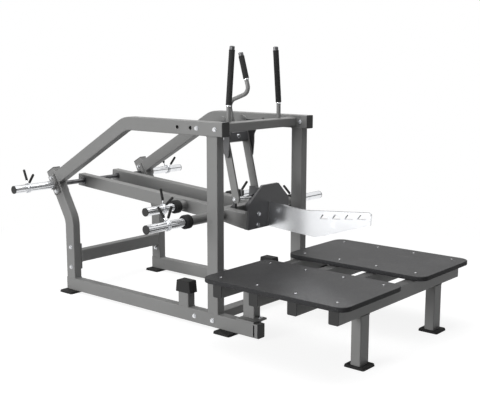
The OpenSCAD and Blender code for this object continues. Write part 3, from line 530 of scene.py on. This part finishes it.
def lever_path():
    """Points (y, z) from the axle: straight up, an arc to the front, straight, an arc up again.

    On an arc that leaves in a direction, the point after angle a has gone radius * sin a
    along it and radius * (1 - cos a) towards the inside of the turn.
    """
    up = np.array([0, 1])
    front = np.array([-1, 0])
    ahead = front * math.sin(FIRST_TURN) + up * math.cos(FIRST_TURN)
    above = up * math.sin(FIRST_TURN) - front * math.cos(FIRST_TURN)
    last = ahead * math.cos(SECOND_TURN) + above * math.sin(SECOND_TURN)
    first = up * LEVER_UP + FIRST_R * np.array(
        [up * math.sin(a) + front * (1 - math.cos(a)) for a in np.linspace(0, FIRST_TURN, 13)])
    second = first[-1] + ahead * LEVER_ACROSS + SECOND_R * np.array(
        [ahead * math.sin(a) + above * (1 - math.cos(a)) for a in np.linspace(0, SECOND_TURN, 13)])
    rise = up * np.linspace(HUB_BLOCK[1] / 2 - 4 * MM, LEVER_UP, 6)[:-1, None]
    end = second[-1] + last * np.linspace(0, LEVER_LAST - TIP_BARE / 2, 8)[1:, None]
    return np.vstack([rise, first, second, end]), second[-1], last


def lockout_lever():
    """The bent tube with a bead at its foot, the hub block with its clamp bolt, and the grip."""
    axle = middle("lockout_axle")
    path, bend_end, last = lever_path()
    tube = axle + np.array([turn_x(y, z, -LINK_LEAN) for y, z in path])
    up = turn_x(0, 1, -LINK_LEAN)
    front = turn_x(-1, 0, -LINK_LEAN)
    foot = round_bead(axle + up * HUB_BLOCK[1] / 2, up, TUBE_R)
    piece("lockout_lever_tube", merged([swept(tube, TUBE_R, (1, 0, 0), 24), foot]), "lockout",
          "frame_paint", "lockout_lever")

    turn = np.linspace(0, math.pi / 2, 5)
    inset = HUB_RIM * (1 - np.sin(turn))
    along = HUB_RIM * (1 - np.cos(turn))
    levels = [(-HUB_HALF, HUB_RIM * 2), *zip(-HUB_HALF + along, inset)]
    levels += [(-x, drawn_in) for x, drawn_in in reversed(levels)]
    points, faces = stacked(0, 0, *HUB_BLOCK, HUB_CORNER_R, levels)
    ahead = axle + points[:, 2:] * X - points[:, :1] * front + points[:, 1:2] * up
    piece("lockout_hub_block", (ahead, faces), "lockout", "plate_paint", "lockout_lever")
    seat = axle + front * HUB_BLOCK[0] / 2
    clamp = merged([turned(seat, front, CLAMP_WASHER), turned(seat, front, CLAMP_HEAD, 6)])
    piece("lockout_clamp_bolt", clamp, "lockout", "bolt_steel", "lockout_lever")

    foot = bend_end + last * (LEVER_LAST - TIP_BARE - LOCK_GRIP_L)
    grip("lockout_lever_grip", axle + turn_x(*foot, -LINK_LEAN), turn_x(*last, -LINK_LEAN),
         LOCK_GRIP_L, "lockout", "lockout_grip")


# Spring collars

WIRE_R = 3 * MM
SLEEVE_R = 25 * MM
COIL_R = SLEEVE_R + WIRE_R + 0.4 * MM
COIL_TURNS = 3
COIL_PITCH = 2 * WIRE_R + 1 * MM
COLLAR_OPEN = 62
BEND_SWEEP = 16
BEND_RISE = 10.5 * MM
COLLAR_REACH = 124 * MM
COLLAR_GRIP_FROM = 50 * MM
COLLAR_GRIP_R = 8 * MM
WIRE_SHORT = 12 * MM
TURN_STEPS = 48
COLLAR_TURN = {
    "lower_left": -13, "lower_right": -20, "upper_left": 14, "upper_right": 2,
    "storage_left": 8, "storage_right": 8,
}


def spokes(angle, radius, x):
    """Points at a radius from the horn's axis, at an angle from straight up towards +Y."""
    angle = np.radians(angle)
    return np.stack([np.broadcast_to(x, angle.shape), radius * np.sin(angle),
                     radius * np.cos(angle)], -1)


def wire_path(turn, side):
    """In along one arm, three turns round the horn, and out along the other arm.

    Each arm leaves the coil along its tangent and swings outward: the angle closes with
    sin t and the radius grows with 1 - cos t, then the arm runs straight out.
    """
    coil_angle = 360 * COIL_TURNS - COLLAR_OPEN - 2 * BEND_SWEEP
    half = COIL_PITCH * coil_angle / 360 / 2
    start = COLLAR_OPEN / 2 + BEND_SWEEP
    t = np.linspace(0, math.pi / 2, 9)
    swing = start - BEND_SWEEP * np.sin(t)
    rise = COIL_R + BEND_RISE * (1 - np.cos(t))
    out = np.linspace(COIL_R + BEND_RISE, COLLAR_REACH - WIRE_SHORT, 8)[1:]
    swing = np.concatenate([swing, np.full(len(out), COLLAR_OPEN / 2)])
    rise = np.concatenate([rise, out])
    around = np.linspace(0, 1, COIL_TURNS * TURN_STEPS + 1)[1:-1]
    angle = np.concatenate([-swing[::-1], -start - coil_angle * around, swing])
    radius = np.concatenate([rise[::-1], np.full(len(around), COIL_R), rise])
    x = np.concatenate([np.full(len(rise), -half), half * (2 * around - 1),
                        np.full(len(rise), half)])
    return spokes(angle - turn, radius, -x * side), half


def collar_grip_profile():
    """A moulded sleeve: a rounded mouth, rings that ripple the radius, and a domed end."""
    length = COLLAR_REACH - COLLAR_GRIP_FROM
    pitch = 5.2 * MM
    groove = 0.9 * MM
    dome = 8 * MM
    along = np.linspace(3 * MM, length - dome - 1 * MM, 61)
    radii = COLLAR_GRIP_R - groove * (np.cos(TAU * along / pitch) > 0.35)
    turn = np.linspace(0, math.pi / 2, 7)[1:-1]
    end = [(length - dome + dome * math.sin(a), COLLAR_GRIP_R * math.cos(a)) for a in turn]
    mouth = [(0, WIRE_R), (0, COLLAR_GRIP_R - 2 * MM), (1.5 * MM, COLLAR_GRIP_R - 0.5 * MM)]
    return mouth + list(zip(along, radii)) + end + [(length, 1 * MM)]


def spring_collar(horn, side, body):
    """The wire round its sleeve, and the two grips on the ends of its arms."""
    node = f"{horn}_collar_{side}"
    sign = SIDES[side]
    axis = middle(f"{horn}_sleeve_{side}")
    centre = np.array([middle(node)[0], axis[1], axis[2]])
    turn = COLLAR_TURN[f"{horn}_{side}"] + (0 if horn == "storage" else REST_TILT)
    path, half = wire_path(turn, sign)
    piece(node + "_wire", swept(centre + path, WIRE_R, (1, 0, 0), 10), body, "spring_wire",
          node)
    grips = []
    for end in (-1, 1):
        angle = end * COLLAR_OPEN / 2 - turn
        inner, outer = spokes(np.array([angle, angle]),
                              np.array([COLLAR_GRIP_FROM, COLLAR_REACH]), -end * half * sign)
        grips.append(turned(centre + inner, outer - inner, collar_grip_profile(), 18))
    piece(node + "_grips", merged(grips), body, "rubber", node)


for horn in ("lower", "upper", "storage"):
    for side in SIDES:
        spring_collar(horn, side, f"{horn}_{side}_collar")


# Rubber feet

RAIL_FOOT = (158 * MM, 120 * MM)
LEG_FOOT = (111 * MM, 119 * MM)
FOOT_CORNER_R = 10 * MM
FOOT_STEP = 0.8 * MM
FOOT_GROOVE = 1.6 * MM
REAR_FOOT_PAST = 5 * MM
FRONT_FOOT_AHEAD = 104 * MM
LEG_HALF = 40 * MM


def rounded_loop(width, depth, radius):
    """A rectangle whose corners are quarter circles, as points round it."""
    turn = np.linspace(0, math.pi / 2, 7)
    loop = []
    for quarter in range(4):
        sx, sy = [(1, 1), (-1, 1), (-1, -1), (1, -1)][quarter]
        a = turn + quarter * math.pi / 2
        loop.append(np.stack([sx * (width / 2 - radius) + radius * np.cos(a),
                              sy * (depth / 2 - radius) + radius * np.sin(a)], -1))
    return np.vstack(loop)


def stacked(x, y, width, depth, radius, levels):
    """A rounded rectangle at each (height, inset) of a list, joined up the sides and closed."""
    layers = []
    for height, inset in levels:
        loop = rounded_loop(width - 2 * inset, depth - 2 * inset, radius)
        layers.append(np.column_stack([loop + (x, y), np.full(len(loop), height)]))
    count = len(layers[0])
    points = np.vstack(layers)
    faces = grid_faces(len(layers), count, False)
    bottom = np.arange(count)
    ends = np.array([[x, y, levels[0][0]], [x, y, levels[-1][0]]])
    faces += fan(bottom, len(points), False)
    faces += fan(bottom + (len(layers) - 1) * count, len(points) + 1, True)
    return np.vstack([points, ends]), faces


def foot_levels(height):
    """Three ribs one over another, each drawn in by a rounded groove."""
    ribs = 3
    rib = height / ribs
    levels = []
    for k in range(ribs):
        base = k * rib
        inset = FOOT_STEP * k
        levels += [(base, inset + 0.8 * MM), (base + 0.5 * MM, inset),
                   (base + 0.62 * rib, inset), (base + 0.70 * rib, inset + FOOT_GROOVE),
                   (base + 0.97 * rib, inset + FOOT_GROOVE + 0.6 * MM)]
    return levels + [(height, FOOT_STEP * ribs + 1 * MM)]


def rubber_feet():
    """Feet under the rear uprights, ahead of the front uprights, and under the front legs."""
    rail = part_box("bottom_rail_right")
    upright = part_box("front_upright_right")
    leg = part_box("platform_legs")
    depth = upright[1][1] - upright[0][1]
    rear = rail[1][1] + REAR_FOOT_PAST - depth / 2
    front = upright[0][1] + depth / 2 - FRONT_FOOT_AHEAD
    leg_x = leg[1][0] - LEG_HALF
    leg_y = (leg[0][1] + leg[1][1]) / 2
    levels = foot_levels(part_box("rubber_feet")[1][2])
    feet = []
    for sign in SIDES.values():
        for y in (rear, front):
            feet.append(stacked(sign * middle("bottom_rail_right")[0], y, *RAIL_FOOT,
                                FOOT_CORNER_R, levels))
        feet.append(stacked(sign * leg_x, leg_y, *LEG_FOOT, FOOT_CORNER_R, levels))
    piece("ribbed_feet", merged(feet), "frame", "rubber", "rubber_feet")


rubber_feet()


# Platforms

RIM_R = 4 * MM
PLATFORM_R = 60 * MM


def platforms():
    """Each board is a rounded rectangle whose rims are quarter circles, above and below."""
    turn = np.linspace(0, math.pi / 2, 5)
    rim = [(RIM_R * (1 - math.cos(a)), RIM_R * (1 - math.sin(a))) for a in turn]
    for side in SIDES:
        low, high = corners(f"platform_{side}")
        under = [(low[2] + drop, inset) for drop, inset in rim]
        over = [(high[2] - drop, inset) for drop, inset in reversed(rim)]
        flat = RIM_R + 2 * MM
        levels = [(low[2], flat)] + under + over + [(high[2], flat)]
        x, y = (low + high)[:2] / 2
        width, depth = (high - low)[:2]
        board = stacked(x, y, width, depth, PLATFORM_R, levels)
        piece(f"platform_board_{side}", board, "frame", "board", f"platform_{side}")


platforms()


# Weld beads

BEAD_R = 3.2 * MM
BEAD_WAVE = 5 * MM
BEAD_SPACING = 1.6 * MM
TUBE_CORNER_R = 6 * MM
FLANGE_T = 8 * MM
FOOT_PLATE_T = 10 * MM
TUBE_H = 80 * MM
CROSSBAR_H = 60 * MM
STUB_R = 28 * MM
HORN_TO_ARM_END = 175 * MM
FRONT_PLATES_T = 28 * MM
TONGUE_HALF = 7.5 * MM
TONGUE_ROOT = (-46 * MM, 90 * MM)


def bead(path, beside, closed=True):
    """A bead whose radius ripples as the welder's pool sets, wave by wave."""
    path = np.asarray(path, float)
    step = np.linalg.norm(np.diff(path, axis=0), axis=1)
    along = np.concatenate([[0], np.cumsum(step)])
    radii = BEAD_R * (1 + 0.16 * np.sin(TAU * along / BEAD_WAVE))
    return swept(path, radii, beside, 8, closed)


def dense(loop):
    """The same closed loop with points at an even spacing."""
    loop = np.vstack([loop, loop[:1]])
    step = np.linalg.norm(np.diff(loop, axis=0), axis=1)
    along = np.concatenate([[0], np.cumsum(step)])
    count = max(int(along[-1] / BEAD_SPACING), 12)
    spots = np.arange(count) * along[-1] / count
    return np.stack([np.interp(spots, along, loop[:, k]) for k in range(loop.shape[1])], -1)


def tube_bead(centre, across, upward, width, depth):
    """A bead round a rectangular tube's end, in the plane of its two section axes."""
    across = unit(across)
    upward = unit(upward)
    loop = dense(rounded_loop(width, depth, TUBE_CORNER_R))
    path = np.asarray(centre) + loop[:, :1] * across + loop[:, 1:] * upward
    return bead(path, np.cross(across, upward))


def round_bead(centre, axis, radius):
    """A bead round a pipe's foot."""
    axis = unit(axis)
    across = unit(np.cross(axis, OFF_AXIS))
    angle = np.linspace(0, TAU, 90, endpoint=False)[:, None]
    path = np.asarray(centre) + radius * (
        np.cos(angle) * across + np.sin(angle) * np.cross(axis, across))
    return bead(path, axis)


X, Y, Z = np.eye(3)


def end_bead(node, axis, end):
    """A bead round one end of a straight tube node: axis 0, 1 or 2, and its low or high end."""
    low, high = corners(node)
    first, second = [k for k in range(3) if k != axis]
    centre = (low + high) / 2
    centre[axis] = (low, high)[end][axis]
    size = high - low
    return tube_bead(centre, np.eye(3)[first], np.eye(3)[second], size[first], size[second])


def pair_beads(node, end, width, depth):
    """Beads at the low or high end of a pair of posts that share a node, one on each side."""
    low, high = corners(node)
    y = (low[1] + high[1]) / 2
    x = high[0] - width / 2
    z = (low, high)[end][2]
    return [tube_bead((sign * x, y, z), X, Y, width, depth) for sign in SIDES.values()]


def frame_welds():
    """Beads at the uprights, crossbars, handles, stop posts and the platforms' legs and posts."""
    beads = []
    for side in SIDES:
        beads.append(end_bead(f"front_upright_{side}", 2, 0))
        beads.append(end_bead(f"front_upright_{side}", 2, 1))
    for end in (0, 1):
        beads.append(end_bead("top_crossbar", 0, end))
        beads.append(end_bead("bottom_crossbar", 0, end))
    low, high = corners("front_upright_right")
    width, depth = (high - low)[:2]
    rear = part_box("rear_upright_right")[0]
    bar = middle("rear_crossbar")
    bar_low, bar_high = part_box("rear_crossbar")
    handle_low, handle_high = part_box("balance_handle_right")
    handle_y = middle("balance_handle_right")[1]
    for sign in SIDES.values():
        beads.append(tube_bead((sign * (rear[0] + width / 2), bar_low[1] + depth / 2, rear[2]),
                               X, Y, width, depth))
        beads.append(tube_bead((sign * (bar_high[0] - FLANGE_T), bar[1], bar[2]),
                               Y, Z, width, TUBE_H))
        beads.append(round_bead((sign * (handle_high[0] - TUBE_R), handle_y, handle_low[2]),
                                Z, TUBE_R))
    beads += pair_beads("stop_posts", 0, width, depth)
    foot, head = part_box("platform_posts")
    post_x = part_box("bottom_rail_right")[0][0] - width / 2
    post_y = middle("platform_beam_1")[1]
    for sign in SIDES.values():
        for z in (foot[2] + FOOT_PLATE_T, head[2]):
            beads.append(tube_bead((sign * post_x, post_y, z), X, Y, width, depth))
    beads += pair_beads("platform_legs", 1, 2 * LEG_HALF, width)
    piece("frame_weld_beads", merged(beads), "frame", "frame_paint")


frame_welds()


def lever_welds():
    """Beads in the lever's own tilted axes: u runs forward from the pivot, w rises from it."""
    forward = turn_x(-1, 0, REST_TILT)
    rise = turn_x(0, 1, REST_TILT)
    low, high = corners("lever_arm_right")
    width = high[0] - low[0]
    arm_x = (low[0] + high[0]) / 2
    reach = (middle("lower_sleeve_right") - pivot) @ forward + HORN_TO_ARM_END
    bar = middle("lever_crossbar")
    beads = []
    for sign in SIDES.values():
        end = pivot + forward * reach + X * sign * arm_x
        beads.append(tube_bead(end, X, rise, width, TUBE_H))
        for horn in ("lower", "upper"):
            axis = middle(f"{horn}_sleeve_right")
            beads.append(round_bead((sign * (arm_x + width / 2), axis[1], axis[2]), X, STUB_R))
        beads.append(tube_bead((sign * (arm_x - width / 2), bar[1], bar[2]), forward, rise,
                               width, CROSSBAR_H))
        root = pivot + forward * (reach + FRONT_PLATES_T) + X * sign * TONGUE_HALF
        line = root + np.linspace(*TONGUE_ROOT, 90)[:, None] * rise
        beads.append(bead(line, X, False))
    piece("lever_weld_beads", merged(beads), "lever", "frame_paint")


lever_welds()
lockout_lever()


# Softened edges of the CAD's plates, caps, blocks and bolts: each bevel's width in millimetres

SOFT_EDGES = {
    "front_plate": 1.5, "arm_flange": 1.2,
    "frame_end_caps": 1.2, "lever_end_caps": 1.2, "stop_rubbers": 2.0, "catch_plates": 1.0,
    "lockout_bracket": 1.0, "lockout_links": 1.0, "storage_flanges": 1.2, "belt_tongue": 1.0,
    "frame_bolts": 0.8, "lever_bolts": 0.8, "lock_bar": 0.8, "rear_crossbar": 0.8,
    "horn_rings": 1.5,
}
for name, width in SOFT_EDGES.items():
    node = frame["nodes"][name]
    weld = node.modifiers.new("weld", "WELD")
    weld.merge_threshold = 0.01 * MM
    bevel = node.modifiers.new("bevel", "BEVEL")
    bevel.limit_method = "ANGLE"
    bevel.angle_limit = math.radians(40)
    bevel.width = width * MM
    bevel.segments = 2


# Camera, light and floor

def area_light(name, spot, target, size, power):
    """A white rectangular lamp at a spot, which looks at a target."""
    data = bpy.data.lights.new(name, "AREA")
    data.shape = "RECTANGLE"
    data.size, data.size_y = size
    data.energy = power
    light = bpy.data.objects.new(name, data)
    bpy.context.scene.collection.objects.link(light)
    light.location = spot
    direction = [t - s for s, t in zip(spot, target)]
    light.rotation_euler = Vector(direction).to_track_quat("-Z", "Y").to_euler()


CAMERA_AT = (-3.896, -3.374, 1.518)
CAMERA_LENS = 64.64
CAMERA_SENSOR = 36.0
CAMERA_PITCH = 80.06
CAMERA_TURN = -49.665

camera_data = bpy.data.cameras.new("camera")
camera_data.sensor_width = CAMERA_SENSOR
camera_data.lens = CAMERA_LENS
camera = bpy.data.objects.new("camera", camera_data)
bpy.context.scene.collection.objects.link(camera)
camera.location = CAMERA_AT
camera.rotation_euler = (math.radians(CAMERA_PITCH), 0, math.radians(CAMERA_TURN))
bpy.context.scene.camera = camera
bpy.context.scene.view_settings.view_transform = "Standard"

area_light("overhead", (0.3, -0.3, 4.0), (0, 0, 0.6), (3.4, 3.6), 110)
area_light("side", (-9.0, 2.2, 2.2), (0, 0, 0.7), (5.0, 3.6), 640)

world = bpy.data.worlds.new("studio")
world.use_nodes = True
bpy.context.scene.world = world


def make_world(nodes):
    """White to the camera. Gloss sees a dark strip above the horizon, other rays a dim grey."""
    spot = nodes.node("TexCoord", output="Generated")
    height = nodes.node("SeparateXYZ", None, spot, output="Z")
    strip = height.between(-0.02, 0.05) * (1 - height.between(0.16, 0.34))
    white = nodes.node("Background", None, (1, 1, 1), 1.0)
    dark = nodes.node("Background", None, (0.05, 0.05, 0.05), 1.0)
    dim = nodes.node("Background", None, (0.92, 0.93, 0.95), 0.15)
    gloss = nodes.node("MixShader", None, strip, white, dark)
    other = nodes.node("MixShader", None, nodes.ray("Glossy"), dim, gloss)
    seen = nodes.node("MixShader", None, nodes.ray("Camera", "Transmission"), other, white)
    nodes.feed(nodes.tree.nodes["World Output"].inputs["Surface"], seen)


make_world(Nodes(world.node_tree))


def make_floor():
    """White to the camera but for a faint shadow, and a duller bounce for the object.

    What the camera sees is a glow with a pale lit layer over it, and far off, white glow alone.
    """
    size = 30
    mesh = bpy.data.meshes.new("floor")
    mesh.from_pydata([(-size, -size, 0), (size, -size, 0), (size, size, 0), (-size, size, 0)],
                     [], [(0, 1, 2, 3)])
    floor = bpy.data.objects.new("floor", mesh)
    bpy.context.scene.collection.objects.link(floor)
    material = bpy.data.materials.new("floor_white")
    material.use_nodes = True
    nodes = Nodes(material.node_tree)
    bounce = nodes.node("BsdfDiffuse", None, (0.26, 0.26, 0.26))
    layer = nodes.node("BsdfDiffuse", None, (0.30, 0.30, 0.30))
    glow = nodes.node("Emission", None, (1, 1, 1), 0.86)
    near = nodes.node("AddShader", None, layer, glow)
    distance = nodes.node("VectorMath", dict(operation="LENGTH"), nodes.place(), output="Value")
    white = nodes.node("Emission", None, (1, 1, 1), 1.0)
    shown = nodes.node("MixShader", None, distance.between(1.6, 3.2), near, white)
    rays = nodes.ray("Camera", "Glossy", "Transmission")
    total = nodes.node("MixShader", None, rays, bounce, shown)
    nodes.feed(nodes.tree.nodes["Material Output"].inputs["Surface"], total)
    mesh.materials.append(material)


make_floor()
